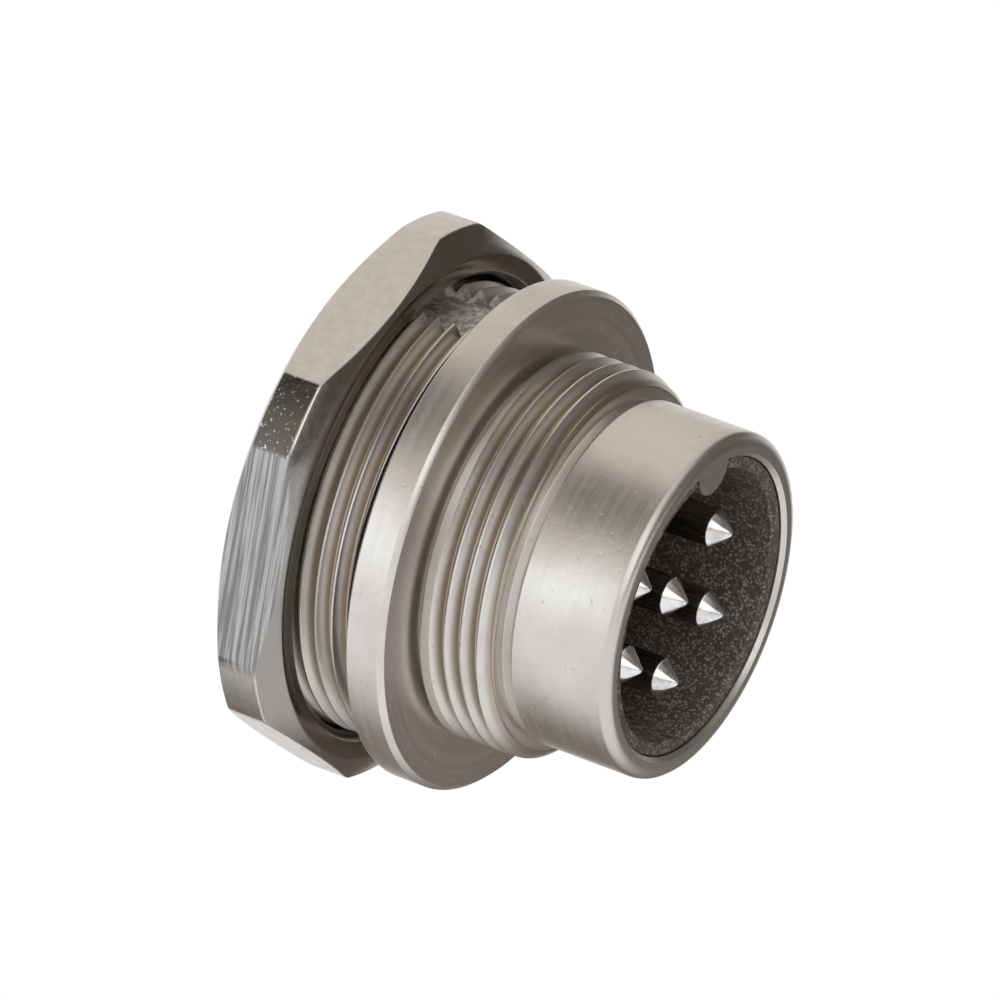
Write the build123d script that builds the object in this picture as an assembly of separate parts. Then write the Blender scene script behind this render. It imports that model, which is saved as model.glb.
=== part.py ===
from build123d import *
from math import cos, radians, sin, tan
import os

# A round panel-mount connector plug: a turned shell with a mating thread in front
# of its flange and a mounting thread behind it, a hexagon nut for the panel, and
# an insulating insert with six pins. All lengths are in millimetres.
#
# The origin is the centre of the flange's rear face, which seats on the panel.
# The mouth points along -Y, the wires leave along +Y and the key is at the top, +Z.
# Angles round the axis start at the key and run towards +X.

# Shell in front of the flange; depths and widths are radial, lengths run along the axis
mating_thread_diameter = 16.0
mating_thread_length = 3.1
mating_thread_chamfer = 0.45
front_relief_depth = 0.55
front_relief_length = 0.3
barrel_step = 0.85
barrel_length = 4.5
barrel_wall = 0.95
neck_depth = 0.2
neck_length = 0.4
neck_chamfer = 0.15
rim_chamfer_width = 0.4
rim_chamfer_length = 0.3

# Flange and the recess behind it for the panel seal
flange_thickness = 1.7
flange_chamfer = 0.2
flange_land = 0.55
seal_recess_depth = 0.55
panel_seal_section = 0.85
panel_seal_clearance = 0.1

# Shell behind the flange
rear_relief_depth = 0.55
rear_relief_length = 0.6
mounting_thread_length = 5.7
mounting_thread_chamfer = 0.45
slot_width = 3.2
slot_depth = 0.75
insert_shoulder_width = 1.4
insert_shoulder_depth = 0.6
chamber_wall = 1.7
chamber_chamfer = 0.25

# Key, a round-nosed rib along the top of the bore
key_height = 1.05
key_nose_radius = 0.95
key_root_fillet = 0.45

# Seals, whose round section is drawn with flats
seal_sides = 6

# Hexagon nut
nut_wall = 1.45
nut_corner_height = 0.85
nut_face_width = 1.17
nut_thickness = 3.0
nut_chamfer_angle = 30.0
nut_countersink = 0.4
nut_thread_clearance = 0.05
nut_gap = 2.75
nut_corner_angle = 7.5

# Contact carrier, the front insulator
insert_clearance = 0.05
carrier_face_depth = 6.1
carrier_flange_thickness = 1.2
skirt_thickness = 0.5
skirt_setback = 0.25
carrier_seal_section = 0.6
carrier_seal_clearance = 0.1

# Contacts
pin_circle_diameter = 7.18
pin_step_angle = 60.0
pin_diameter = 1.6
pin_tip_setback = 0.65
pin_tip_length = 0.75
pin_nose_diameter = 0.2
shank_step = 0.2
collar_width = 0.25
collar_length = 1.6
cup_bore_diameter = 1.3
cup_wall = 0.3
cup_bore_depth = 2.6
cup_scoop_length = 1.1
cup_scoop_drop = 0.25
cup_overhang = 2.2
contact_clearance = 0.05

# Rear insulator and the threaded ring that clamps the insert
rear_insulator_thickness = 3.2
clamp_ring_width = 1.75
clamp_ring_thickness = 1.1
clamp_ring_slot_width = 1.2
clamp_ring_slot_depth = 0.5
boss_length = 1.6
boss_chamfer = 0.3

# Diameters that follow from these sizes
barrel_diameter = mating_thread_diameter - 2 * barrel_step
neck_diameter = barrel_diameter - 2 * neck_depth
front_relief_diameter = mating_thread_diameter - 2 * front_relief_depth
bore_diameter = barrel_diameter - 2 * barrel_wall
chamber_diameter = bore_diameter + 2 * insert_shoulder_width
mounting_thread_diameter = chamber_diameter + 2 * chamber_wall
rear_relief_diameter = mounting_thread_diameter - 2 * rear_relief_depth
panel_seal_diameter = rear_relief_diameter + 2 * panel_seal_clearance + panel_seal_section
seal_recess_diameter = panel_seal_diameter + panel_seal_section + 2 * panel_seal_clearance
flange_diameter = seal_recess_diameter + 2 * flange_land
slot_floor_radius = mounting_thread_diameter / 2 - slot_depth
key_centre_radius = bore_diameter / 2 - key_height + key_nose_radius
nut_hole_diameter = mounting_thread_diameter + 2 * nut_thread_clearance
nut_across_flats = mounting_thread_diameter + 2 * nut_wall
nut_corner_diameter = nut_across_flats + 2 * nut_corner_height
nut_face_diameter = mounting_thread_diameter + 2 * nut_face_width
carrier_diameter = bore_diameter - 2 * insert_clearance
insert_diameter = chamber_diameter - 2 * insert_clearance
carrier_groove_diameter = carrier_diameter + 2 * carrier_seal_section + 4 * carrier_seal_clearance
shank_diameter = pin_diameter + 2 * shank_step
collar_diameter = shank_diameter + 2 * collar_width
cup_diameter = cup_bore_diameter + 2 * cup_wall
clamp_ring_bore = insert_diameter - 2 * clamp_ring_width
boss_diameter = clamp_ring_bore - 2 * insert_clearance

# Stations along the axis that follow from these sizes
flange_front = -flange_thickness
thread_foot = flange_front - front_relief_length
thread_front = thread_foot - mating_thread_length
neck_front = thread_front - neck_length
rim = neck_front - barrel_length
mounting_thread_front = rear_relief_length
shell_rear = mounting_thread_front + mounting_thread_length
shoulder = insert_shoulder_depth
carrier_rear = shoulder + carrier_flange_thickness
carrier_face = rim + carrier_face_depth
insulator_rear = carrier_rear + rear_insulator_thickness
boss_rear = insulator_rear + boss_length
cup_rear = boss_rear + cup_overhang
pin_tip = rim + pin_tip_setback
through = 1.0


def turned(*outline):
    """Turn a closed outline of (radius, station) points round the axis."""
    return revolve(make_face(Polyline(*outline, close=True)), Axis.Y)


def prism(section, front, rear):
    """Run a section, drawn as (X, Z), from the front station to the rear one."""
    return extrude(Plane.XZ.offset(-rear) * section, rear - front)


def rod(diameter, front, rear):
    """A plain cylinder on the axis between two stations."""
    return prism(Circle(diameter / 2), front, rear)


def pin_places():
    """Places of the contacts: a circle with none at the key, then the centre."""
    radius = pin_circle_diameter / 2
    count = round(360 / pin_step_angle) - 1
    angles = [pin_step_angle * step for step in range(1, count + 1)]
    round_key = [
        (radius * sin(radians(angle)), radius * cos(radians(angle)), angle)
        for angle in angles
    ]
    return round_key + [(0.0, 0.0, 0.0)]


def at_pins(tool):
    """A copy of a tool at each contact, turned to face away from the centre."""
    return [Pos(x, 0, z) * Rot(0, angle, 0) * tool for x, z, angle in pin_places()]


def bore_section(clearance=0.0):
    """The open section of the mouth, with the key's nose rounded into its wall.

    A clearance draws it smaller all round, for what slides into it.
    """
    nose = Pos(0, key_centre_radius) * Circle(key_nose_radius + clearance)
    section = Circle(bore_diameter / 2 - clearance) - nose
    return fillet(section.vertices().filter_by(beside_key), key_root_fillet - clearance)


def beside_key(vertex):
    """True for the two corners where the key meets the wall of the bore."""
    return abs(vertex.X) > key_nose_radius / 2


def shell_blank():
    """The outside of the shell as it is turned."""
    barrel = barrel_diameter / 2
    neck = neck_diameter / 2
    thread = mating_thread_diameter / 2
    relief = front_relief_diameter / 2
    flange = flange_diameter / 2
    recess = seal_recess_diameter / 2
    rear_relief = rear_relief_diameter / 2
    mounting = mounting_thread_diameter / 2
    return turned(
        (0, rim),
        (barrel - rim_chamfer_width, rim),
        (barrel, rim + rim_chamfer_length),
        (barrel, neck_front - neck_chamfer),
        (neck, neck_front),
        (neck, thread_front),
        (thread - mating_thread_chamfer, thread_front),
        (thread, thread_front + mating_thread_chamfer),
        (thread, thread_foot),
        (relief, thread_foot + front_relief_length / 2),
        (relief, flange_front),
        (flange - flange_chamfer, flange_front),
        (flange, flange_front + flange_chamfer),
        (flange, 0),
        (recess, 0),
        (recess, -seal_recess_depth),
        (rear_relief, -seal_recess_depth),
        (rear_relief, mounting_thread_front - rear_relief_length / 2),
        (mounting, mounting_thread_front),
        (mounting, shell_rear - mounting_thread_chamfer),
        (mounting - mounting_thread_chamfer, shell_rear),
        (0, shell_rear),
    )


def insert_chamber():
    """The wide rear bore for the insert, with a lead-in at its mouth."""
    wide = chamber_diameter / 2
    return turned(
        (0, shoulder),
        (wide, shoulder),
        (wide, shell_rear - chamber_chamfer),
        (wide + chamber_chamfer + through, shell_rear + through),
        (0, shell_rear + through),
    )


def anti_rotation_slot():
    """A flat-bottomed slot along the mounting thread, in line with the key."""
    height = slot_depth + through
    section = Pos(0, slot_floor_radius + height / 2) * Rectangle(slot_width, height)
    return prism(section, 0, shell_rear + through)


def make_shell():
    """The shell: barrel, key, both threads, flange and the bores inside."""
    shell = shell_blank() - prism(bore_section(), rim - through, shoulder)
    return shell - insert_chamber() - anti_rotation_slot()


def nut_blank():
    """The nut's turned blank, with both faces chamfered to the corners."""
    face = nut_face_diameter / 2
    corner = nut_corner_diameter / 2
    drop = (corner - face) * tan(radians(nut_chamfer_angle))
    rear = nut_gap + nut_thickness
    return turned(
        (0, nut_gap),
        (face, nut_gap),
        (corner, nut_gap + drop),
        (corner, rear - drop),
        (face, rear),
        (0, rear),
    )


def nut_bore():
    """The nut's threaded hole, countersunk on both faces."""
    hole = nut_hole_diameter / 2
    rear = nut_gap + nut_thickness
    return turned(
        (0, nut_gap - through),
        (hole + nut_countersink + through, nut_gap - through),
        (hole, nut_gap + nut_countersink),
        (hole, rear - nut_countersink),
        (hole + nut_countersink + through, rear + through),
        (0, rear + through),
    )


def make_mounting_nut():
    """The hexagon nut, a corner of it turned a little away from the key."""
    hexagon = RegularPolygon(nut_across_flats / 2, 6, major_radius=False)
    upright = Rot(0, 0, 90 - nut_corner_angle) * hexagon
    bar = prism(upright, nut_gap - through, nut_gap + nut_thickness + through)
    return (nut_blank() & bar) - nut_bore()


def o_ring(diameter, section, station):
    """An O-ring by its middle diameter, with flats towards the front and rear."""
    flats = RegularPolygon(section / 2, seal_sides, major_radius=False)
    return revolve(Pos(diameter / 2, station) * flats, Axis.Y)


def make_panel_seal():
    """The O-ring behind the flange, resting on the floor of its recess."""
    station = panel_seal_section / 2 - seal_recess_depth
    return o_ring(panel_seal_diameter, panel_seal_section, station)


def make_carrier_seal():
    """The O-ring that the carrier presses against the shell's inner shoulder."""
    diameter = (carrier_diameter + carrier_groove_diameter) / 2
    station = shoulder + carrier_seal_section / 2
    return o_ring(diameter, carrier_seal_section, station)


def carrier_blank():
    """The carrier's keyed body, its skirt along the bore and its rear flange."""
    body = prism(bore_section(insert_clearance), rim + skirt_setback, shoulder)
    cavity = rod(carrier_diameter - 2 * skirt_thickness, rim, carrier_face)
    flange = rod(insert_diameter, shoulder, carrier_rear)
    return body - cavity + flange


def carrier_seal_groove():
    """The step in the carrier's flange that holds its O-ring."""
    ring = Circle(carrier_groove_diameter / 2) - Circle(carrier_diameter / 2)
    return prism(ring, shoulder, shoulder + carrier_seal_section)


def contact_hole():
    """The hole for one contact, with a counterbore for its collar."""
    narrow = shank_diameter + 2 * contact_clearance
    wide = collar_diameter + 2 * contact_clearance
    hole = rod(narrow, carrier_face - through, carrier_rear)
    return hole + rod(wide, carrier_rear - collar_length, carrier_rear + through)


def make_contact_carrier():
    """The front insulator with its skirt, keyway and contact holes."""
    carrier = carrier_blank() - carrier_seal_groove()
    for hole in at_pins(contact_hole()):
        carrier -= hole
    return carrier


def make_rear_insulator():
    """The rear insulator: a disc behind the collars and a boss through the ring."""
    disc = insert_diameter / 2
    boss = boss_diameter / 2
    body = turned(
        (0, carrier_rear),
        (disc, carrier_rear),
        (disc, insulator_rear),
        (boss, insulator_rear),
        (boss, boss_rear - boss_chamfer),
        (boss - boss_chamfer, boss_rear),
        (0, boss_rear),
    )
    hole = rod(cup_diameter + 2 * contact_clearance, carrier_rear - through, boss_rear + through)
    for cut in at_pins(hole):
        body -= cut
    return body


def make_clamp_ring():
    """The threaded ring that holds the insert, slotted for a face spanner."""
    rear = insulator_rear + clamp_ring_thickness
    section = Circle(insert_diameter / 2) - Circle(clamp_ring_bore / 2)
    across = Rectangle(insert_diameter + through, clamp_ring_slot_width)
    slot = prism(across, rear - clamp_ring_slot_depth, rear + through)
    return prism(section, insulator_rear, rear) - slot


def contact_blank():
    """One contact as it is turned: nose, pin, shank, collar and solder cup."""
    pin = pin_diameter / 2
    shank = shank_diameter / 2
    collar = collar_diameter / 2
    cup = cup_diameter / 2
    nose = pin_nose_diameter / 2
    return turned(
        (0, pin_tip),
        (nose, pin_tip),
        (pin, pin_tip + pin_tip_length),
        (pin, carrier_face),
        (shank, carrier_face),
        (shank, carrier_rear - collar_length),
        (collar, carrier_rear - collar_length),
        (collar, carrier_rear),
        (cup, carrier_rear),
        (cup, cup_rear),
        (0, cup_rear),
    )


def solder_cup():
    """The blind bore of the cup and the scoop that opens its outer side."""
    bore = rod(cup_bore_diameter, cup_rear - cup_bore_depth, cup_rear + through)
    height = cup_diameter
    middle = cup_scoop_drop + height / 2
    section = Pos(0, middle) * Rectangle(cup_diameter + through, height)
    return bore + prism(section, cup_rear - cup_scoop_length, cup_rear + through)


def make_contacts():
    """The six contacts, each a solid in its own place."""
    return at_pins(contact_blank() - solder_cup())


def save(shape, name):
    """Write one sub-part to its own file."""
    export_step(shape, f"parts/{name}.step")


def main():
    """Build every sub-part and write it."""
    os.makedirs("parts", exist_ok=True)
    save(make_shell(), "shell")
    save(make_mounting_nut(), "mounting_nut")
    save(make_panel_seal(), "panel_seal")
    save(make_contact_carrier(), "contact_carrier")
    save(make_carrier_seal(), "carrier_seal")
    save(make_rear_insulator(), "rear_insulator")
    save(make_clamp_ring(), "clamp_ring")
    for number, contact in enumerate(make_contacts(), start=1):
        save(contact, f"contact_{number}")


main()
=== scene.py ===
from math import cos, radians, sin, sqrt, tan

import bpy
from mathutils import Matrix, Vector

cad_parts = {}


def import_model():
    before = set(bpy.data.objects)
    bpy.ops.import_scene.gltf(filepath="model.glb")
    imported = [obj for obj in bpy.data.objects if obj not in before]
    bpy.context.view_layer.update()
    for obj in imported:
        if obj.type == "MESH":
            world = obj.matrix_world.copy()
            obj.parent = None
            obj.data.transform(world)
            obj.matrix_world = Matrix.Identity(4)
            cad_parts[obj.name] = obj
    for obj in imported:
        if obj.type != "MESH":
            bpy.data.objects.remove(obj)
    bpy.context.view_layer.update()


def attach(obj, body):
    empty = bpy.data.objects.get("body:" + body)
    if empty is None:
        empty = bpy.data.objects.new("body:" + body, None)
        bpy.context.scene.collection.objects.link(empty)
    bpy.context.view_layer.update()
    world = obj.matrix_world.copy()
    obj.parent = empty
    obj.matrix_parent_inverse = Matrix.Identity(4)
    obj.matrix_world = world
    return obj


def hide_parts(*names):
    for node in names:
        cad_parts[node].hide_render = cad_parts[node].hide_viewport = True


# The looks of a panel-mount circular connector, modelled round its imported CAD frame.
# The axis runs along Y with the mouth at -Y, and the key is at the top, +Z.
# A station is a place along the axis. Lengths are in millimetres unless a comment
# says metres, and angles are in degrees; both are turned into metres and radians
# where they are used. Colours are linear red, green and blue.

MM = 0.001
MICROMETRE = 1e-6

# Shell, front to rear
rim = -10.0
barrel_radius = 7.15
rim_round_width = 0.52
rim_round_length = 0.4
rim_round_steps = 4
barrel_foot = -5.65
neck_radius = 6.95
neck_front = -5.5
mating_thread_front = -5.1
mating_thread_foot = -2.0
mating_thread_radius = 8.0
mating_thread_chamfer = 0.45
front_relief_radius = 7.45
flange_front = -1.7
flange_radius = 10.35
flange_chamfer = 0.2
seal_recess_radius = 9.8
seal_recess_depth = 0.55
rear_relief_radius = 8.75
rear_relief_foot = 0.42
rear_relief_end = 0.6
mounting_thread_radius = 9.3
mounting_thread_chamfer = 0.45
shell_rear = 6.3
bore_radius = 6.2
mouth_chamfer = 0.17
shoulder = 0.6
chamber_radius = 7.6
chamber_chamfer = 0.25
slot_width = 3.2
slot_floor = 8.55
edge_break = 0.035

# Key
key_centre = 6.08
key_nose_radius = 1.12
key_recess = 0.2
key_root_fillet = 0.45
key_nose_sides = 96
key_fillet_steps = 8

# Section of the groove of all three threads: its half widths are where its flanks end
# and at the rounded lips, and it runs on past the crest so that the cut is clean
thread_pitch = 0.75
thread_depth = 0.46
thread_flank = 30.0
thread_crest = 0.09
crest_round = 0.05
groove_root_share = 0.45
groove_flank_half = 0.30
groove_lip_half = 0.35
groove_lip_rise = 1.3
groove_overrun = 0.25
groove_overrun_spread = 1.01
thread_steps = 96

# The station where each thread's cutter starts, for the nut how far in front of it, the
# turns that it makes and the side that it starts from
mating_thread_start = -5.92
mating_thread_turns = 5
mating_thread_side = 180
mounting_thread_start = 0.525
mounting_thread_turns = 9
mounting_thread_side = 90
nut_thread_lead = 1.2
nut_thread_turns = 7
nut_thread_side = 90

# Nut
nut_front = 2.75
nut_rear = 5.75
nut_flats = 21.5
nut_corner_radius = 11.6
nut_face_radius = 10.47
nut_hole_radius = 9.35
nut_countersink = 0.4
nut_chamfer_angle = 30.0
nut_corner_angle = 7.5
nut_flat_angle = 60
nut_flat_count = 6
nut_edge_break = 0.07
nut_sides = 192
nut_chamfer_length = (nut_corner_radius - nut_face_radius) * tan(radians(nut_chamfer_angle))

# Insert
insert_clearance = 0.05
carrier_rear = 1.8
carrier_face = -3.9
carrier_skirt_edge = -9.75
skirt_bore_radius = 5.65
skirt_chamfer = 0.12
insert_radius = 7.55
carrier_groove_radius = 6.95
carrier_overlap = 0.1
insulator_rear = 5.0
ring_bore_radius = 5.8
ring_rear = 6.1
ring_edge_break = 0.06
ring_slot_width = 1.2
ring_slot_depth = 0.5
boss_radius = 5.75
boss_rear = 6.6
boss_chamfer = 0.3

# Contacts. Nose and cone end: how much wider, how far behind the tip or the cone's base
pin_circle_radius = 3.59
pin_angles = (60, 120, 180, 240, 300)
pin_tip = -9.28
pin_nose_radius = 0.1
pin_nose_steps = ((-0.06, 0), (0, 0.015), (0.05, 0.055))
pin_cone_base = -8.54
pin_radius = 0.8
pin_cone_steps = ((-0.03, -0.03), (-0.008, 0), (0, 0.03))
shank_step = 0.1
shank_radius = 1.0
collar_radius = 1.25
collar_front = 0.2
cup_radius = 0.95
cup_bore_radius = 0.65
cup_bore_end = 6.2
cup_bore_cone = 0.35
cup_bore_tip_share = 0.2
cup_bore_sides = 48
cup_rear = 8.8
cup_scoop_front = 7.7
cup_scoop_drop = 0.25
contact_clearance = 0.05
contact_hole_chamfer = 0.12
contact_hole_mouth = 0.17
cup_hole_chamfer = 0.15
cup_hole_mouth = 0.2

# Seals
panel_seal_middle = 9.275
panel_seal_section = 0.85
panel_seal_station = -0.125
carrier_seal_middle = 6.55
carrier_seal_section = 0.6
carrier_seal_station = 0.9
seal_section_sides = 20
seal_steps = 120
mould_line_band = 0.004
mould_line_height = 0.012

# How far tools run past a surface, and how near two places count as one
through = 1.0
overrun = 0.05
hair = 0.02
same_place = 0.001
merge_distance = 0.0005

round_sides = 160
small_sides = 64
flat_shading_weight = 90

# Colours of the finishes, and of the painted shade, shadows and dark reflections
nickel_clean = (0.68, 0.665, 0.64)
nickel_stained = (0.62, 0.60, 0.57)
nickel_speck = (0.3, 0.27, 0.24)
# Painted dark reflection on the faces square to the axis
nickel_faced_painted_dark_reflection = (0.62, 0.585, 0.545)
# Painted shade in the roots of the threads
nickel_root_painted_shade = (0.43, 0.385, 0.33)
# Painted dark reflection on the rounded rim
nickel_rim_painted_dark_reflection = (0.60, 0.585, 0.565)
slot_dark = (0.46, 0.43, 0.40)
slot_bright = (0.86, 0.85, 0.83)
# Painted dark, streaky reflection on one flat of the nut
flat_painted_reflection_dark = (0.22, 0.217, 0.22)
flat_painted_reflection_light = (0.48, 0.475, 0.475)
nut_dark = (0.635, 0.615, 0.59)
nut_bright = (0.69, 0.675, 0.65)
corner_dark = (0.16, 0.15, 0.145)
corner_speck = (0.8, 0.8, 0.8)
# Painted dark reflection on the nut's chamfers and painted shade on its faces
nut_chamfer_painted_reflection = (0.33, 0.315, 0.295)
nut_face_painted_shade = (0.25, 0.215, 0.175)
cone_bright = (0.80, 0.80, 0.82)
cone_hazy = (0.58, 0.57, 0.57)
# Painted shade on the pins behind their cones
pin_painted_shade = (0.36, 0.34, 0.31)
plastic_dark = (0.042, 0.035, 0.028)
plastic_pale = (0.085, 0.072, 0.06)
plastic_speck = (0.29, 0.27, 0.25)
rubber_dark = (0.012, 0.012, 0.012)
rubber_pale = (0.03, 0.029, 0.028)

# Where the finishes and the painted shade and reflections change
faced_span = 0.08
faced_start = 0.9
nut_chamfer_start = 0.7
nut_face_start = 0.91
rim_band_span = 0.04
slot_floor_span = (-0.1, -0.05)
slot_front_span = (-0.1, 0.1)
root_inner_span = (-0.08, -0.04)
root_outer_span = (0.08, -0.12)
painted_reflection_flat_side = nut_corner_angle - 90
painted_reflection_flat_span = (-0.35, -0.05)
dark_corner_side = nut_corner_angle - 60
dark_corner_span = (-0.16, -0.1)
dark_corner_front_span = (0.06, 0.1)
pin_shade_span = (0.03, 0.1)
faced_gloss = -0.02
slot_dullness = 0.2
lined_stretch = (0.025, 1.0, 0.025)
plastic_roughness = 0.6
rubber_roughness = 0.7

# Floor and the two painted shadows on it, dark patches, one an oval and one at the side, which is
# a sector.
# Metres but for the level; the oval's fade is in parts of its reach
floor_level = -80.0
floor_radius = 4
floor_sides = 96
floor_roughness = 0.9
floor_glow = 0.46
floor_colour = (0.87, 0.885, 0.92)
painted_shadow_colour = (0.17, 0.147, 0.13)
painted_shadow_middle = (0.095, -0.04)
painted_shadow_turn = -40
painted_shadow_reach = (0.285, 0.062)
painted_shadow_fade = (0.42, 1.0)
side_painted_shadow_colour = (0.10, 0.088, 0.08)
side_painted_shadow_direction = (0.80, -0.60, 0)
side_painted_shadow_spread = (16, 29)
side_painted_shadow_fade = (0.12, 0.2)

# Sky: direction, full and fading spread, and light of each patch on the plain colour
sky_colour = (0.80, 0.75, 0.67)
studio_patches = (
    ((0.87, -0.48, 0.12), 34, 57, (0.15, 0.13, 0.115)),
    ((0.18, -0.96, 0.2), 24, 42, (0.17, 0.15, 0.13)),
    ((-0.29, 0.433, 0.853), 6, 28, (0.16, 0.146, 0.137)),
    ((-0.9, 0.43, -0.06), 14, 38, (1.40, 1.42, 1.45)),
    ((-0.36, -0.82, 0.45), 8, 22, (1.9, 1.9, 1.9)),
    ((-0.62, -0.43, 0.66), 14, 34, (1.3, 1.3, 1.3)),
)

# Camera, fitted to the photograph; distance, shift and clip in metres
camera_forward = (0.7803, 0.4331, -0.4511)
camera_right = (0.5237, -0.8468, 0.0929)
camera_distance = 0.5
camera_shift = (0.000547, 0.001138)
camera_lens = 457.1
camera_sensor = 36
camera_clip = (0.01, 20)


def work_on(piece):
    """Makes one piece the only one selected."""
    if bpy.context.object and bpy.context.object.mode != "OBJECT":
        bpy.ops.object.mode_set(mode="OBJECT")
    bpy.ops.object.select_all(action="DESELECT")
    piece.select_set(True)
    bpy.context.view_layer.objects.active = piece


def settle(piece):
    """Puts a piece's place and turn into its mesh."""
    work_on(piece)
    bpy.ops.object.transform_apply(location=True, rotation=True, scale=True)


def edit(kind="VERT"):
    """Opens the piece for editing with nothing selected."""
    bpy.ops.object.mode_set(mode="EDIT")
    bpy.ops.mesh.select_mode(type=kind)
    bpy.ops.mesh.select_all(action="DESELECT")


def pick(piece, kind, test):
    """Selects the vertices or edges whose place passes a test, and stays in edit mode."""
    work_on(piece)
    edit(kind)
    bpy.ops.object.mode_set(mode="OBJECT")
    mesh = piece.data
    points = [vertex.co / MM for vertex in mesh.vertices]
    if kind == "VERT":
        for vertex, place in zip(mesh.vertices, points):
            vertex.select = test(place)
    if kind == "EDGE":
        for line in mesh.edges:
            line.select = test([points[index] for index in line.vertices])
    bpy.ops.object.mode_set(mode="EDIT")


def close_edit():
    """Merges what meets, turns the faces outwards and leaves edit mode."""
    bpy.ops.mesh.select_all(action="SELECT")
    bpy.ops.mesh.remove_doubles(threshold=merge_distance * MM)
    bpy.ops.mesh.normals_make_consistent(inside=False)
    bpy.ops.object.mode_set(mode="OBJECT")


def soften(piece, width, angle=25.0, steps=2):
    """Breaks the sharp edges of a piece."""
    work_on(piece)
    edit("EDGE")
    bpy.ops.mesh.edges_select_sharp(sharpness=radians(angle))
    bpy.ops.mesh.bevel(
        offset=width * MM,
        segments=steps,
        affect="EDGES",
        clamp_overlap=True,
    )
    bpy.ops.object.mode_set(mode="OBJECT")


def next_ring(here, there):
    """Extrudes the selected ring from one (radius, station) to the next."""
    radius, station = here
    next_radius, next_station = there
    move = {"value": (0, (next_station - station) * MM, 0)}
    bpy.ops.mesh.extrude_region_move(TRANSFORM_OT_translate=move)
    scale = next_radius / radius
    centre = (0, next_station * MM, 0)
    bpy.ops.transform.resize(value=(scale, 1, scale), center_override=centre)


def turn_outline(name, outline, sides, kind, fill):
    """Draws an outline's first circle and extrudes it from point to point."""
    radius, station = outline[0]
    bpy.ops.mesh.primitive_circle_add(
        vertices=sides,
        radius=radius * MM,
        fill_type=fill,
        location=(0, station * MM, 0),
        rotation=(radians(90), 0, 0),
    )
    piece = bpy.context.object
    piece.name = name
    settle(piece)
    bpy.ops.object.mode_set(mode="EDIT")
    bpy.ops.mesh.select_mode(type=kind)
    bpy.ops.mesh.select_all(action="SELECT")
    for here, there in zip(outline, outline[1:]):
        next_ring(here, there)
    close_edit()
    return piece


def turn_bar(name, outline, sides=round_sides):
    """Turns a solid bar: a disc, then face after face along the axis."""
    return turn_outline(name, outline, sides, "FACE", "NGON")


def turn_ring(name, outline, sides=round_sides):
    """Turns a ring: its outline is drawn as rings and closed on the first."""
    return turn_outline(name, outline + outline[:1], sides, "EDGE", "NOTHING")


def fit_tool(piece, tool, operation):
    """Cuts a piece with another, or joins the two, and clears the tool away."""
    work_on(piece)
    bpy.ops.object.modifier_add(type="BOOLEAN")
    step = piece.modifiers[-1]
    step.solver = "EXACT"
    step.operation = operation
    step.object = tool
    bpy.ops.object.modifier_apply(modifier=step.name)
    bpy.data.objects.remove(tool, do_unlink=True)


def cut(piece, tool):
    """Takes the tool's shape out of a piece."""
    fit_tool(piece, tool, "DIFFERENCE")


def join_on(piece, tool):
    """Adds the tool's shape to a piece."""
    fit_tool(piece, tool, "UNION")


def finish_piece(piece, angle):
    """Closes the mesh and shades it smooth up to its real edges, flat faces kept flat."""
    work_on(piece)
    bpy.ops.object.mode_set(mode="EDIT")
    close_edit()
    work_on(piece)
    bpy.ops.object.shade_smooth_by_angle(angle=radians(angle))
    bpy.ops.object.modifier_add(type="WEIGHTED_NORMAL")
    shading = piece.modifiers[-1]
    shading.keep_sharp = True
    shading.weight = flat_shading_weight
    bpy.ops.object.modifier_apply(modifier=shading.name)


def bar_across(name, width, depth, height, place):
    """A block for a straight cut, by its size along X, Y and Z and its middle."""
    bpy.ops.mesh.primitive_cube_add(size=MM, location=[value * MM for value in place])
    block = bpy.context.object
    block.name = name
    block.scale = (width, depth, height)
    settle(block)
    return block


def thread_cutter(name, crest, front, turns, side, outwards=1):
    """A helical cutter with the section of one thread groove, outwards -1 for a nut."""
    flank_width = thread_depth * tan(radians(thread_flank))
    half_root = thread_pitch / 2 - thread_crest / 2 - flank_width
    bpy.ops.mesh.primitive_plane_add(size=MM, rotation=(0, radians(90), 0))
    tool = bpy.context.object
    tool.name = name
    settle(tool)
    root = crest - outwards * thread_depth
    tool.scale = (1, 2 * half_root, crest_round)
    tool.location = (0, front * MM, (root + outwards * crest_round / 2) * MM)
    settle(tool)
    centre = (0, front * MM, crest * MM)

    def towards_crest(ends):
        return all((end.z - root) * outwards > crest_round / 2 for end in ends)

    def at_root(place):
        return abs(place.z - root) < same_place

    pick(tool, "EDGE", towards_crest)
    profile = (
        (thread_depth - 2 * crest_round, groove_flank_half / half_root),
        (crest_round * groove_lip_rise, groove_lip_half / groove_flank_half),
        (groove_overrun, groove_overrun_spread),
    )
    for rise, spread in profile:
        move = {"value": (0, 0, rise * outwards * MM)}
        bpy.ops.mesh.extrude_region_move(TRANSFORM_OT_translate=move)
        bpy.ops.transform.resize(value=(1, spread, 1), center_override=centre)
    pick(tool, "VERT", at_root)
    bpy.ops.transform.resize(value=(1, groove_root_share, 1), center_override=centre)
    bpy.ops.mesh.select_mode(type="FACE")
    bpy.ops.mesh.select_all(action="SELECT")
    bpy.ops.mesh.dissolve_faces()
    bpy.ops.mesh.delete(type="ONLY_FACE")
    bpy.ops.object.mode_set(mode="OBJECT")
    tool.rotation_euler = (0, radians(side), 0)
    settle(tool)
    bpy.ops.object.modifier_add(type="SCREW")
    helix = tool.modifiers[-1]
    helix.axis = "Y"
    helix.angle = radians(360)
    helix.screw_offset = thread_pitch * MM
    helix.iterations = turns
    helix.steps = thread_steps
    helix.render_steps = thread_steps
    helix.use_merge_vertices = False
    bpy.ops.object.modifier_apply(modifier=helix.name)
    edit()
    bpy.ops.mesh.select_non_manifold()
    bpy.ops.mesh.fill_holes(sides=0)
    close_edit()
    return tool


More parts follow.
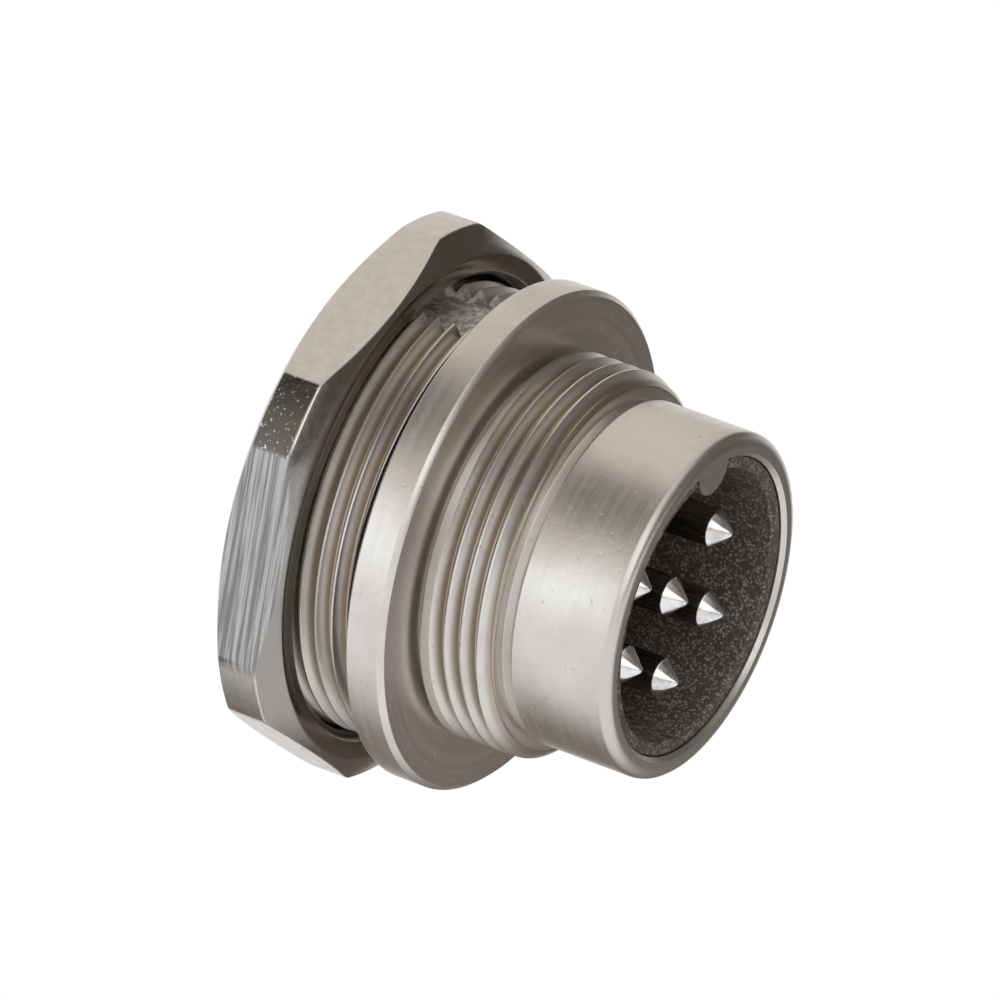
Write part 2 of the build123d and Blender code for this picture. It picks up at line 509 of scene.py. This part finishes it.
def keyed_bar(name, clearance, front, rear):
    """A bar with the section of the mouth, a keyway of the key's shape along its top."""
    radius = bore_radius - clearance
    bar = turn_bar(name, [(radius, front), (radius, rear)])
    nose_radius = key_nose_radius + clearance
    nose = turn_bar(
        "key_nose",
        [(nose_radius, front - through), (nose_radius, rear + through)],
        key_nose_sides,
    )
    nose.location = (0, 0, key_centre * MM)
    settle(nose)
    cut(bar, nose)
    corner_z = (radius**2 - nose_radius**2 + key_centre**2) / (2 * key_centre)
    corner_x = sqrt(radius**2 - corner_z**2)
    fillet = key_root_fillet - clearance

    def along_axis(ends):
        return abs(ends[0].y - ends[1].y) > (rear - front) / 2

    def from_corner(place):
        return sqrt((abs(place.x) - corner_x) ** 2 + (place.z - corner_z) ** 2)

    def beside_corner(ends):
        return along_axis(ends) and hair < from_corner(ends[0]) < fillet + hair

    def on_corner(ends):
        return along_axis(ends) and from_corner(ends[0]) < hair

    pick(bar, "EDGE", beside_corner)
    bpy.ops.mesh.dissolve_edges(use_verts=True)
    pick(bar, "EDGE", on_corner)
    bpy.ops.mesh.bevel(
        offset=fillet * MM,
        segments=key_fillet_steps,
        affect="EDGES",
        clamp_overlap=False,
    )
    close_edit()
    return bar


def quarter_round(steps):
    """Points of a quarter round in hundredths of its size, from its face to its side."""
    turns = [radians(90 * step / steps) for step in range(steps + 1)]
    return [(round(1 - sin(turn), 2), round(1 - cos(turn), 2)) for turn in turns]


def shell_bar():
    """The outside of the shell as it is turned, with its edges broken."""
    rim_round = [
        (barrel_radius - rim_round_width * inwards, rim + rim_round_length * back)
        for inwards, back in quarter_round(rim_round_steps)
    ]
    behind_rim = [
        (barrel_radius, barrel_foot),
        (neck_radius, neck_front),
        (neck_radius, mating_thread_front),
        (mating_thread_radius - mating_thread_chamfer, mating_thread_front),
        (mating_thread_radius, mating_thread_front + mating_thread_chamfer),
        (mating_thread_radius, mating_thread_foot),
        (front_relief_radius, (mating_thread_foot + flange_front) / 2),
        (front_relief_radius, flange_front),
        (flange_radius - flange_chamfer, flange_front),
        (flange_radius, flange_front + flange_chamfer),
        (flange_radius, -flange_chamfer / 2),
        (flange_radius - flange_chamfer / 2, 0),
        (seal_recess_radius, 0),
        (seal_recess_radius, -seal_recess_depth),
        (rear_relief_radius, -seal_recess_depth),
        (rear_relief_radius, rear_relief_foot),
        (mounting_thread_radius, rear_relief_end),
        (mounting_thread_radius, shell_rear - mounting_thread_chamfer),
        (mounting_thread_radius - mounting_thread_chamfer, shell_rear),
    ]
    bar = turn_bar("shell_body", rim_round + behind_rim)
    soften(bar, edge_break)
    return bar


def make_shell():
    """The shell: keyed mouth, chamber, slot and both threads cut into the turned bar."""
    shell = shell_bar()
    cut(shell, keyed_bar("mouth_tool", 0.0, rim - through, shoulder + through / 2))
    # Breaks the mouth's inner edge and sets the key's end back from the rim
    mouth_edge = turn_bar(
        "mouth_chamfer_tool",
        [
            (bore_radius + mouth_chamfer + through, rim - through),
            (bore_radius + mouth_chamfer, rim),
            (bore_radius, rim + mouth_chamfer),
            (bore_radius - hair, rim + key_recess),
        ],
    )
    cut(shell, mouth_edge)
    chamber = turn_bar(
        "chamber_tool",
        [
            (chamber_radius, shoulder),
            (chamber_radius, shell_rear - chamber_chamfer),
            (chamber_radius + chamber_chamfer + through, shell_rear + through),
        ],
    )
    cut(shell, chamber)
    top = mounting_thread_radius + through
    slot = bar_across(
        "slot_tool",
        slot_width,
        shell_rear + through,
        top - slot_floor,
        (0, (shell_rear + through) / 2, (top + slot_floor) / 2),
    )
    cut(shell, slot)
    mating_thread = thread_cutter(
        "mating_thread_tool",
        mating_thread_radius,
        mating_thread_start,
        mating_thread_turns,
        mating_thread_side,
    )
    cut(shell, mating_thread)
    mounting_thread = thread_cutter(
        "mounting_thread_tool",
        mounting_thread_radius,
        mounting_thread_start,
        mounting_thread_turns,
        mounting_thread_side,
    )
    cut(shell, mounting_thread)
    finish_piece(shell, angle=40)
    return shell


def make_nut():
    """The hexagon nut: a chamfered ring, six flats sliced off, then threaded."""
    nut = turn_ring(
        "hexagon_nut",
        [
            (nut_face_radius, nut_front),
            (nut_corner_radius, nut_front + nut_chamfer_length),
            (nut_corner_radius, nut_rear - nut_chamfer_length),
            (nut_face_radius, nut_rear),
            (nut_hole_radius + nut_countersink, nut_rear),
            (nut_hole_radius, nut_rear - nut_countersink),
            (nut_hole_radius, nut_front + nut_countersink),
            (nut_hole_radius + nut_countersink, nut_front),
        ],
        nut_sides,
    )
    work_on(nut)
    first_flat = nut_corner_angle + nut_flat_angle / 2
    for number in range(nut_flat_count):
        angle = radians(first_flat + nut_flat_angle * number)
        outward = Vector((sin(angle), 0, cos(angle)))
        edit("FACE")
        bpy.ops.mesh.select_all(action="SELECT")
        bpy.ops.mesh.bisect(
            plane_co=outward * nut_flats / 2 * MM,
            plane_no=outward,
            use_fill=True,
            clear_outer=True,
        )
        bpy.ops.object.mode_set(mode="OBJECT")
    soften(nut, nut_edge_break, angle=20)
    thread = thread_cutter(
        "nut_thread_tool",
        nut_hole_radius,
        nut_front - nut_thread_lead,
        nut_thread_turns,
        nut_thread_side,
        outwards=-1,
    )
    cut(nut, thread)
    finish_piece(nut, angle=25)
    return nut


def make_seal(name, middle, section, station):
    """An O-ring: a round section swept round the axis, with its mould line."""
    bpy.ops.mesh.primitive_circle_add(
        vertices=seal_section_sides,
        radius=section / 2 * MM,
        location=(0, station * MM, middle * MM),
        rotation=(0, radians(90), 0),
    )
    seal = bpy.context.object
    seal.name = name
    settle(seal)
    bpy.ops.object.mode_set(mode="EDIT")
    bpy.ops.mesh.select_all(action="SELECT")
    bpy.ops.mesh.spin(
        steps=seal_steps,
        angle=radians(360),
        center=(0, 0, 0),
        axis=(0, 1, 0),
    )
    close_edit()
    outside = middle + section / 2

    def on_mould_line(place):
        return place.xz.length > outside - mould_line_band

    pick(seal, "VERT", on_mould_line)
    swell = 1 + mould_line_height / outside
    bpy.ops.transform.resize(value=(swell, 1, swell), center_override=(0, 0, 0))
    bpy.ops.object.mode_set(mode="OBJECT")
    finish_piece(seal, angle=50)
    return seal


def contact_places():
    """The place and turn of each contact: the circle, then the centre."""
    places = [
        (pin_circle_radius * sin(radians(angle)), pin_circle_radius * cos(radians(angle)), angle)
        for angle in pin_angles
    ]
    return places + [(0.0, 0.0, 0.0)]


def stand_at(piece, place):
    """Moves a piece made on the axis to a contact's place."""
    x, z, angle = place
    piece.rotation_euler = (0, radians(angle), 0)
    piece.location = (x * MM, 0, z * MM)
    settle(piece)


def make_contact():
    """One contact on the axis: nose, pin, shank, collar and scooped solder cup."""
    nose = [(pin_nose_radius + wider, pin_tip + behind) for wider, behind in pin_nose_steps]
    cone_end = [(pin_radius + wider, pin_cone_base + behind) for wider, behind in pin_cone_steps]
    behind_cone = [
        (pin_radius, carrier_face + shank_step),
        (shank_radius - shank_step, carrier_face + shank_step),
        (shank_radius, carrier_face + 2 * shank_step),
        (shank_radius, collar_front),
        (collar_radius, collar_front),
        (collar_radius, carrier_rear),
        (cup_radius, carrier_rear),
        (cup_radius, cup_rear),
    ]
    contact = turn_bar("contact_pin", nose + cone_end + behind_cone, small_sides)
    bore = turn_bar(
        "cup_tool",
        [
            (cup_bore_radius * cup_bore_tip_share, cup_bore_end - cup_bore_cone),
            (cup_bore_radius, cup_bore_end),
            (cup_bore_radius, cup_rear + through),
        ],
        cup_bore_sides,
    )
    cut(contact, bore)
    height = 2 * cup_radius
    scoop = bar_across(
        "scoop_tool",
        2 * cup_radius + through,
        cup_rear + through - cup_scoop_front,
        height,
        (0, (cup_scoop_front + cup_rear + through) / 2, cup_scoop_drop + height / 2),
    )
    cut(contact, scoop)
    finish_piece(contact, angle=30)
    return contact


def make_contacts():
    """Six contacts, each copied with its own mesh to its own place."""
    pattern = make_contact()
    contacts = []
    for number, place in enumerate(contact_places(), start=1):
        work_on(pattern)
        bpy.ops.object.duplicate(linked=False)
        contact = bpy.context.object
        contact.name = f"turned_contact_{number}"
        stand_at(contact, place)
        contacts.append(contact)
    bpy.data.objects.remove(pattern, do_unlink=True)
    return contacts


def drill(piece, name, outline):
    """Drills one stepped hole at each contact."""
    for place in contact_places():
        tool = turn_bar(name, outline, small_sides)
        stand_at(tool, place)
        cut(piece, tool)


def make_carrier():
    """The front insulator: keyed body, skirt, flange with its seal step, and holes."""
    carrier = keyed_bar(
        "front_insulator",
        insert_clearance,
        carrier_skirt_edge,
        shoulder + carrier_overlap,
    )
    cavity = turn_bar(
        "cavity_tool",
        [
            (skirt_bore_radius + skirt_chamfer, carrier_skirt_edge - overrun),
            (skirt_bore_radius, carrier_skirt_edge + skirt_chamfer),
            (skirt_bore_radius, carrier_face),
        ],
    )
    cut(carrier, cavity)
    flange = turn_bar("carrier_flange", [(insert_radius, shoulder), (insert_radius, carrier_rear)])
    join_on(carrier, flange)
    step = turn_ring(
        "seal_step_tool",
        [
            (bore_radius - insert_clearance, shoulder - overrun),
            (carrier_groove_radius, shoulder - overrun),
            (carrier_groove_radius, shoulder + carrier_seal_section),
            (bore_radius - insert_clearance, shoulder + carrier_seal_section),
        ],
    )
    cut(carrier, step)
    narrow = shank_radius + contact_clearance
    wide = collar_radius + contact_clearance
    drill(
        carrier,
        "contact_hole_tool",
        [
            (narrow + contact_hole_mouth, carrier_face - overrun),
            (narrow, carrier_face + contact_hole_chamfer),
            (narrow, collar_front),
            (wide, collar_front),
            (wide, carrier_rear + through),
        ],
    )
    finish_piece(carrier, angle=30)
    return carrier


def make_rear_insulator():
    """The rear insulator: a disc, a boss through the ring, and holes for the cups."""
    body = turn_bar(
        "back_insulator",
        [
            (insert_radius, carrier_rear),
            (insert_radius, insulator_rear),
            (boss_radius, insulator_rear),
            (boss_radius, boss_rear - boss_chamfer),
            (boss_radius - boss_chamfer, boss_rear),
        ],
    )
    narrow = cup_radius + contact_clearance
    drill(
        body,
        "cup_hole_tool",
        [
            (narrow, carrier_rear - through),
            (narrow, boss_rear - cup_hole_chamfer),
            (narrow + cup_hole_mouth, boss_rear + overrun),
        ],
    )
    finish_piece(body, angle=30)
    return body


def make_clamp_ring():
    """The ring that clamps the insert, with two slots for a face spanner."""
    ring = turn_ring(
        "threaded_ring",
        [
            (insert_radius, insulator_rear),
            (insert_radius, ring_rear),
            (ring_bore_radius, ring_rear),
            (ring_bore_radius, insulator_rear),
        ],
    )
    soften(ring, ring_edge_break)
    slot = bar_across(
        "spanner_slot_tool",
        2 * insert_radius + through,
        ring_slot_depth + through,
        ring_slot_width,
        (0, ring_rear - ring_slot_depth + (ring_slot_depth + through) / 2, 0),
    )
    cut(ring, slot)
    finish_piece(ring, angle=30)
    return ring


def new_material(name, metallic=0):
    """A material with its shader, ready for its nodes."""
    material = bpy.data.materials.new(name)
    material.use_nodes = True
    tree = material.node_tree
    shader = tree.nodes["Principled BSDF"]
    shader.inputs["Metallic"].default_value = metallic
    return material, tree, shader


def add(tree, kind, **values):
    """A node with its settings and plain input values."""
    node = tree.nodes.new(kind)
    for key, value in values.items():
        if key in node.inputs:
            node.inputs[key].default_value = value
        else:
            setattr(node, key, value)
    return node


def wire(tree, source, target):
    """Joins an output to an input."""
    tree.links.new(source, target)


def work_out(tree, operation, *values):
    """Reckons with plain numbers and outputs."""
    node = add(tree, "ShaderNodeMath", operation=operation)
    for value, socket in zip(values, node.inputs):
        if isinstance(value, (int, float)):
            socket.default_value = value
        else:
            wire(tree, value, socket)
    return node.outputs[0]


def all_of(tree, *factors):
    """The product of several outputs, so 1 only where all of them are 1."""
    total = factors[0]
    for factor in factors[1:]:
        total = work_out(tree, "MULTIPLY", total, factor)
    return total


def between(tree, value, low, high, to_low=0, to_high=1):
    """Maps a value smoothly from one range to another."""
    span = add(tree, "ShaderNodeMapRange", interpolation_type="SMOOTHSTEP")
    span.inputs["From Min"].default_value = low
    span.inputs["From Max"].default_value = high
    span.inputs["To Min"].default_value = to_low
    span.inputs["To Max"].default_value = to_high
    wire(tree, value, span.inputs["Value"])
    return span.outputs["Result"]


def blend(tree, amount, first, second):
    """A colour between two, each a plain colour or an output."""
    mix = add(tree, "ShaderNodeMix", data_type="RGBA")
    wire(tree, amount, mix.inputs["Factor"])
    for value, socket in ((first, mix.inputs[6]), (second, mix.inputs[7])):
        if isinstance(value, tuple):
            socket.default_value = (*value, 1)
        else:
            wire(tree, value, socket)
    return mix.outputs[2]


def in_millimetres(tree):
    """Object coordinates in millimetres."""
    place = add(tree, "ShaderNodeTexCoord")
    scale = add(tree, "ShaderNodeMapping", Scale=(1 / MM, 1 / MM, 1 / MM))
    wire(tree, place.outputs["Object"], scale.inputs["Vector"])
    return scale.outputs["Vector"]


def coordinates(tree):
    """The place across, along the axis and upwards, in millimetres."""
    parts = add(tree, "ShaderNodeSeparateXYZ")
    wire(tree, in_millimetres(tree), parts.inputs[0])
    return parts.outputs["X"], parts.outputs["Y"], parts.outputs["Z"]


def station_along(tree):
    """The station along the axis, in millimetres."""
    return coordinates(tree)[1]


def radius_and_station(tree):
    """The distance from the axis and the station along it, in millimetres."""
    across, station, up = coordinates(tree)
    arm = add(tree, "ShaderNodeCombineXYZ")
    wire(tree, across, arm.inputs["X"])
    wire(tree, up, arm.inputs["Z"])
    radius = add(tree, "ShaderNodeVectorMath", operation="LENGTH")
    wire(tree, arm.outputs[0], radius.inputs[0])
    return radius.outputs["Value"], station


def lathe_lines(tree, spacing):
    """Noise that runs round the axis as a cutting tool's marks do."""
    radius, station = radius_and_station(tree)
    path = add(tree, "ShaderNodeCombineXYZ")
    wire(tree, radius, path.inputs["X"])
    wire(tree, station, path.inputs["Y"])
    lines = add(tree, "ShaderNodeTexNoise", Scale=1 / spacing, Detail=4.0, Roughness=0.65)
    wire(tree, path.outputs[0], lines.inputs["Vector"])
    return lines.outputs["Fac"]


def grain(tree, size, detail=4.0, roughness=0.6):
    """Even noise of one grain size in millimetres."""
    noise = add(tree, "ShaderNodeTexNoise", Scale=1 / size, Detail=detail, Roughness=roughness)
    wire(tree, in_millimetres(tree), noise.inputs["Vector"])
    return noise.outputs["Fac"]


def relief(tree, shader, height, micrometres, below=None):
    """Raises the surface by a height map; below is a coarser relief under it."""
    bump = add(tree, "ShaderNodeBump", Distance=micrometres * MICROMETRE)
    wire(tree, height, bump.inputs["Height"])
    if below:
        wire(tree, below, bump.inputs["Normal"])
    wire(tree, bump.outputs["Normal"], shader.inputs["Normal"])
    return bump.outputs["Normal"]


def past(tree, value, place, span):
    """0 short of a place and 1 past it, changing over a span measured from it."""
    start, end = span
    return between(tree, value, place + start, place + end)


def faced(tree, start):
    """1 on the faces turned square to the axis, 0 on the sides."""
    place = add(tree, "ShaderNodeTexCoord")
    parts = add(tree, "ShaderNodeSeparateXYZ")
    wire(tree, place.outputs["Normal"], parts.inputs[0])
    amount = work_out(tree, "ABSOLUTE", parts.outputs["Y"])
    return between(tree, amount, start, start + faced_span)


def rim_band(tree):
    """1 on the rounded rim and the key's end, where a darker reflection is painted, 0 behind them.
    """
    rim_end = rim + rim_round_length
    return between(tree, station_along(tree), rim_end, rim_end + rim_band_span, 1, 0)


def slot_walls(tree):
    """1 on the floor and walls of the locating slot."""
    across, station, up = coordinates(tree)
    inside = work_out(tree, "COMPARE", across, 0, slot_width / 2 + hair)
    high = past(tree, up, slot_floor, slot_floor_span)
    behind = past(tree, station, 0, slot_front_span)
    return all_of(tree, inside, high, behind)


def thread_root(tree, crest, front, rear):
    """1 in the roots of one outer thread, 0 elsewhere."""
    radius, station = radius_and_station(tree)
    along = work_out(tree, "COMPARE", station, (front + rear) / 2, (rear - front) / 2)
    root = crest - thread_depth
    inner = past(tree, radius, root, root_inner_span)
    start, end = root_outer_span
    outer = between(tree, radius, root + start, crest + end, 1, 0)
    return all_of(tree, along, inner, outer)


def thread_roots_painted_shade(tree):
    """1 in the roots of the two outer threads, where shade is painted, 0 elsewhere."""
    mating = thread_root(tree, mating_thread_radius, mating_thread_front, mating_thread_foot)
    mounting = thread_root(tree, mounting_thread_radius, rear_relief_end, shell_rear)
    return work_out(tree, "ADD", mating, mounting)


def toward_side(tree, angle, distance, span):
    """1 beyond a distance from the axis towards one side, 0 short of it."""
    toward = add(tree, "ShaderNodeVectorMath", operation="DOT_PRODUCT")
    toward.inputs[1].default_value = (sin(radians(angle)), 0, cos(radians(angle)))
    wire(tree, in_millimetres(tree), toward.inputs[0])
    return past(tree, toward.outputs["Value"], distance, span)


def satin_nickel():
    """Turned brass under satin nickel: fine lathe lines, faint stains and pits, with painted dark
    reflections on its faces and rim and painted shade in its thread roots.
    """
    material, tree, shader = new_material("satin nickel", metallic=1)
    stains = between(tree, grain(tree, size=3.0, detail=5), low=0.42, high=0.62)
    clean = blend(tree, stains, nickel_clean, nickel_stained)
    specks = between(tree, grain(tree, size=0.22, detail=2), low=0.68, high=0.74, to_high=0.55)
    colour = blend(tree, specks, clean, nickel_speck)
    front = faced(tree, faced_start)
    # Faces square to the axis are painted darker: a painted dark reflection
    colour = blend(tree, front, colour, nickel_faced_painted_dark_reflection)
    # The thread roots are painted darker: painted shade in the grooves
    colour = blend(tree, thread_roots_painted_shade(tree), colour, nickel_root_painted_shade)
    # The rim and the key's end are painted darker: a painted dark reflection
    colour = blend(tree, rim_band(tree), colour, nickel_rim_painted_dark_reflection)
    milling = between(tree, grain(tree, size=0.3, roughness=0.7), low=0.4, high=0.6)
    milled = blend(tree, milling, slot_dark, slot_bright)
    slot = slot_walls(tree)
    colour = blend(tree, slot, colour, milled)
    wire(tree, colour, shader.inputs["Base Color"])
    turned = lathe_lines(tree, spacing=0.35)
    satin = between(tree, turned, low=0.3, high=0.7, to_low=0.29, to_high=0.37)
    faced_satin = work_out(tree, "MULTIPLY_ADD", front, faced_gloss, satin)
    roughness = work_out(tree, "MULTIPLY_ADD", slot, slot_dullness, faced_satin)
    wire(tree, roughness, shader.inputs["Roughness"])
    rough_slot = all_of(tree, slot, grain(tree, size=0.35, detail=3))
    chatter = relief(tree, shader, rough_slot, micrometres=70)
    pit_marks = between(tree, grain(tree, size=0.3, detail=3), low=0.25, high=0.42)
    pits = relief(tree, shader, pit_marks, micrometres=5, below=chatter)
    relief(tree, shader, lathe_lines(tree, spacing=0.14), micrometres=4, below=pits)
    return material


def milled_nickel():
    """The nut's bright nickel: a painted dark, streaky reflection on one flat, one dark corner,
    and painted dark reflection and shade on its chamfers and faces.
    """
    material, tree, shader = new_material("milled nickel", metallic=1)
    # One flat is painted dark with light streaks: a painted streaky reflection
    flat_painted_reflection = toward_side(tree, painted_reflection_flat_side, nut_flats / 2, painted_reflection_flat_span)
    squash = add(tree, "ShaderNodeMapping", Scale=lined_stretch)
    wire(tree, in_millimetres(tree), squash.inputs["Vector"])
    bands = add(tree, "ShaderNodeTexNoise", Scale=6.0, Detail=6.0, Roughness=0.65)
    wire(tree, squash.outputs[0], bands.inputs["Vector"])
    streaks = between(tree, bands.outputs["Fac"], low=0.4, high=0.6)
    painted_streaky_reflection = blend(tree, streaks, flat_painted_reflection_dark, flat_painted_reflection_light)
    mottle = between(tree, grain(tree, size=0.5, detail=5, roughness=0.7), low=0.35, high=0.65)
    plain = blend(tree, mottle, nut_dark, nut_bright)
    colour = blend(tree, flat_painted_reflection, plain, painted_streaky_reflection)
    at_corner = toward_side(tree, dark_corner_side, nut_corner_radius, dark_corner_span)
    chamfer_end = nut_front + nut_chamfer_length
    behind_chamfer = past(tree, station_along(tree), chamfer_end, dark_corner_front_span)
    specks = between(tree, grain(tree, size=0.14, detail=2), low=0.62, high=0.69)
    dark_specked_corner = blend(tree, specks, corner_dark, corner_speck)
    # One corner of the nut is darker, with light specks
    colour = blend(tree, all_of(tree, at_corner, behind_chamfer), colour, dark_specked_corner)
    # The nut's chamfers are painted darker as a painted reflection, and its flat faces darker
    # still as painted shade
    colour = blend(tree, faced(tree, nut_chamfer_start), colour, nut_chamfer_painted_reflection)
    colour = blend(tree, faced(tree, nut_face_start), colour, nut_face_painted_shade)
    wire(tree, colour, shader.inputs["Base Color"])
    shine = between(tree, grain(tree, size=0.3), low=0.3, high=0.7, to_low=0.17, to_high=0.25)
    wire(tree, shine, shader.inputs["Roughness"])
    coarse = relief(tree, shader, grain(tree, size=0.35, roughness=0.7), micrometres=2.5)
    relief(tree, shader, bands.outputs["Fac"], micrometres=5, below=coarse)
    return material


def plated_contact():
    """Plated contacts, bright on their cones, with painted shade darkening the pins behind them.
    """
    material, tree, shader = new_material("plated contact", metallic=1)
    # The pins behind the cones are painted darker: painted shade in the dark cavity
    shaded_pins = past(tree, station_along(tree), pin_cone_base, pin_shade_span)
    haze = between(tree, grain(tree, size=0.7, detail=3), low=0.4, high=0.62)
    bright = blend(tree, haze, cone_bright, cone_hazy)
    wire(tree, blend(tree, shaded_pins, bright, pin_painted_shade), shader.inputs["Base Color"])
    fine = grain(tree, size=0.5, detail=3)
    shine = between(tree, fine, low=0.3, high=0.7, to_low=0.14, to_high=0.22)
    wire(tree, shine, shader.inputs["Roughness"])
    relief(tree, shader, grain(tree, size=0.07, detail=3), micrometres=1.5)
    return material


def moulded_insulator():
    """Glass-filled black plastic with a speckled, slightly rough skin."""
    material, tree, shader = new_material("moulded insulator")
    dots = add(tree, "ShaderNodeTexVoronoi", Scale=7.5, Randomness=1.0)
    wire(tree, in_millimetres(tree), dots.inputs["Vector"])
    spots = between(tree, dots.outputs["Distance"], low=0.22, high=0.62, to_low=1, to_high=0)
    patches = grain(tree, size=0.4, roughness=0.7)
    patchy = between(tree, patches, low=0.38, high=0.56, to_low=0.2)
    cloudy = blend(tree, grain(tree, size=1.2, detail=3), plastic_dark, plastic_pale)
    colour = blend(tree, all_of(tree, spots, patchy), cloudy, plastic_speck)
    wire(tree, colour, shader.inputs["Base Color"])
    shader.inputs["Roughness"].default_value = plastic_roughness
    relief(tree, shader, grain(tree, size=0.12, roughness=0.7), micrometres=14)
    return material


def seal_rubber():
    """Matt black rubber."""
    material, tree, shader = new_material("seal rubber")
    bloom = between(tree, grain(tree, size=0.8), low=0.4, high=0.7)
    wire(tree, blend(tree, bloom, rubber_dark, rubber_pale), shader.inputs["Base Color"])
    shader.inputs["Roughness"].default_value = rubber_roughness
    relief(tree, shader, grain(tree, size=0.06, detail=3), micrometres=3)
    return material


def dress(piece, material, slot, body, *nodes):
    """Gives a piece its finish and its body, and hides the nodes that it stands for."""
    piece.data.materials.clear()
    piece.data.materials.append(material)
    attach(piece, body)
    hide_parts(*nodes)


def patch_towards(tree, direction, centre, inner, outer):
    """1 round one direction, softly down to 0, by two spreads in degrees."""
    toward = add(tree, "ShaderNodeVectorMath", operation="DOT_PRODUCT")
    toward.inputs[1].default_value = Vector(centre).normalized()
    wire(tree, direction, toward.inputs[0])
    return between(tree, toward.outputs["Value"], cos(radians(outer)), cos(radians(inner)))


def beyond_oval_painted_shadow(tree, place):
    """0 on the oval painted shadow on the floor, 1 away from it."""
    oval_shadow = add(tree, "ShaderNodeMapping", vector_type="TEXTURE")
    oval_shadow.inputs["Location"].default_value = (*painted_shadow_middle, floor_level * MM)
    oval_shadow.inputs["Rotation"].default_value = (0, 0, radians(painted_shadow_turn))
    oval_shadow.inputs["Scale"].default_value = (*painted_shadow_reach, 1)
    wire(tree, place, oval_shadow.inputs["Vector"])
    away = add(tree, "ShaderNodeVectorMath", operation="LENGTH")
    wire(tree, oval_shadow.outputs["Vector"], away.inputs[0])
    return between(tree, away.outputs["Value"], *painted_shadow_fade)


def on_side_painted_shadow(tree, place):
    """1 on the side painted shadow, a sector of the floor that starts a little way out."""
    flat = add(tree, "ShaderNodeMapping", Scale=(1, 1, 0))
    wire(tree, place, flat.inputs["Vector"])
    reach = add(tree, "ShaderNodeVectorMath", operation="LENGTH")
    wire(tree, flat.outputs["Vector"], reach.inputs[0])
    bearing = add(tree, "ShaderNodeVectorMath", operation="NORMALIZE")
    wire(tree, flat.outputs["Vector"], bearing.inputs[0])
    direction = bearing.outputs["Vector"]
    side = patch_towards(tree, direction, side_painted_shadow_direction, *side_painted_shadow_spread)
    return all_of(tree, side, between(tree, reach.outputs["Value"], *side_painted_shadow_fade))


def lay_floor():
    """A wide pale floor far below the hanging connector, with two painted shadows on it."""
    bpy.ops.mesh.primitive_circle_add(
        vertices=floor_sides,
        radius=floor_radius,
        fill_type="NGON",
        location=(0, 0, floor_level * MM),
    )
    floor = bpy.context.object
    floor.name = "floor"
    settle(floor)
    material, tree, shader = new_material("pale floor")
    shader.inputs["Roughness"].default_value = floor_roughness
    shader.inputs["Specular IOR Level"].default_value = 0.0
    place = add(tree, "ShaderNodeTexCoord").outputs["Object"]
    # Two dark patches on the floor are painted shadows, seen in the metal's reflections
    colour = blend(tree, beyond_oval_painted_shadow(tree, place), painted_shadow_colour, floor_colour)
    colour = blend(tree, on_side_painted_shadow(tree, place), colour, side_painted_shadow_colour)
    wire(tree, colour, shader.inputs["Base Color"])
    wire(tree, colour, shader.inputs["Emission Color"])
    # It glows to the camera and in reflections, and sheds no light of its own on the rest
    paths = add(tree, "ShaderNodeLightPath").outputs
    seen = work_out(tree, "MAXIMUM", paths["Is Camera Ray"], paths["Is Glossy Ray"])
    seen = work_out(tree, "MAXIMUM", seen, paths["Is Transmission Ray"])
    glow = work_out(tree, "MULTIPLY", seen, floor_glow)
    wire(tree, glow, shader.inputs["Emission Strength"])
    floor.data.materials.append(material)


def light_studio():
    """Soft light all round: bright patches left and in front, dark ones between and right."""
    world = bpy.data.worlds.new("studio")
    bpy.context.scene.world = world
    world.use_nodes = True
    tree = world.node_tree
    direction = add(tree, "ShaderNodeTexCoord").outputs["Generated"]
    colour = sky_colour
    for centre, inner, outer, light in studio_patches:
        patch = patch_towards(tree, direction, centre, inner, outer)
        colour = blend(tree, patch, colour, light)
    wire(tree, colour, tree.nodes["Background"].inputs["Color"])


def place_camera():
    """The camera at the photograph's angle, from the front left and above."""
    forward = Vector(camera_forward).normalized()
    right = Vector(camera_right)
    right = (right - forward * right.dot(forward)).normalized()
    up = right.cross(forward)
    shift_right, shift_up = camera_shift
    place = -forward * camera_distance + right * shift_right + up * shift_up
    turn = Matrix((right, up, -forward)).transposed().to_4x4()
    bpy.ops.object.camera_add()
    camera = bpy.context.object
    camera.matrix_world = Matrix.Translation(place) @ turn
    camera.data.lens = camera_lens
    camera.data.sensor_width = camera_sensor
    camera.data.clip_start, camera.data.clip_end = camera_clip
    bpy.context.scene.camera = camera


def main():
    """Loads the frame, dresses it and sets the scene."""
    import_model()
    bpy.ops.object.select_all(action="DESELECT")

    nickel = satin_nickel()
    brushed = milled_nickel()
    plated = plated_contact()
    moulded = moulded_insulator()
    rubber = seal_rubber()

    dress(make_shell(), nickel, "nickel", "connector", "shell")
    dress(make_nut(), brushed, "nut_metal", "nut", "mounting_nut")
    panel_seal = make_seal(
        "panel_o_ring", panel_seal_middle, panel_seal_section, panel_seal_station
    )
    dress(panel_seal, rubber, "seal_rubber", "connector", "panel_seal")
    carrier_seal = make_seal(
        "carrier_o_ring", carrier_seal_middle, carrier_seal_section, carrier_seal_station
    )
    dress(carrier_seal, rubber, "seal_rubber", "connector", "carrier_seal")
    dress(make_carrier(), moulded, "insulator", "connector", "contact_carrier")
    dress(make_rear_insulator(), moulded, "insulator", "connector", "rear_insulator")
    dress(make_clamp_ring(), nickel, "nickel", "connector", "clamp_ring")
    for number, contact in enumerate(make_contacts(), start=1):
        dress(contact, plated, "contact_metal", "connector", f"contact_{number}")

    lay_floor()
    light_studio()
    place_camera()
    bpy.context.scene.view_settings.view_transform = "Standard"


main()
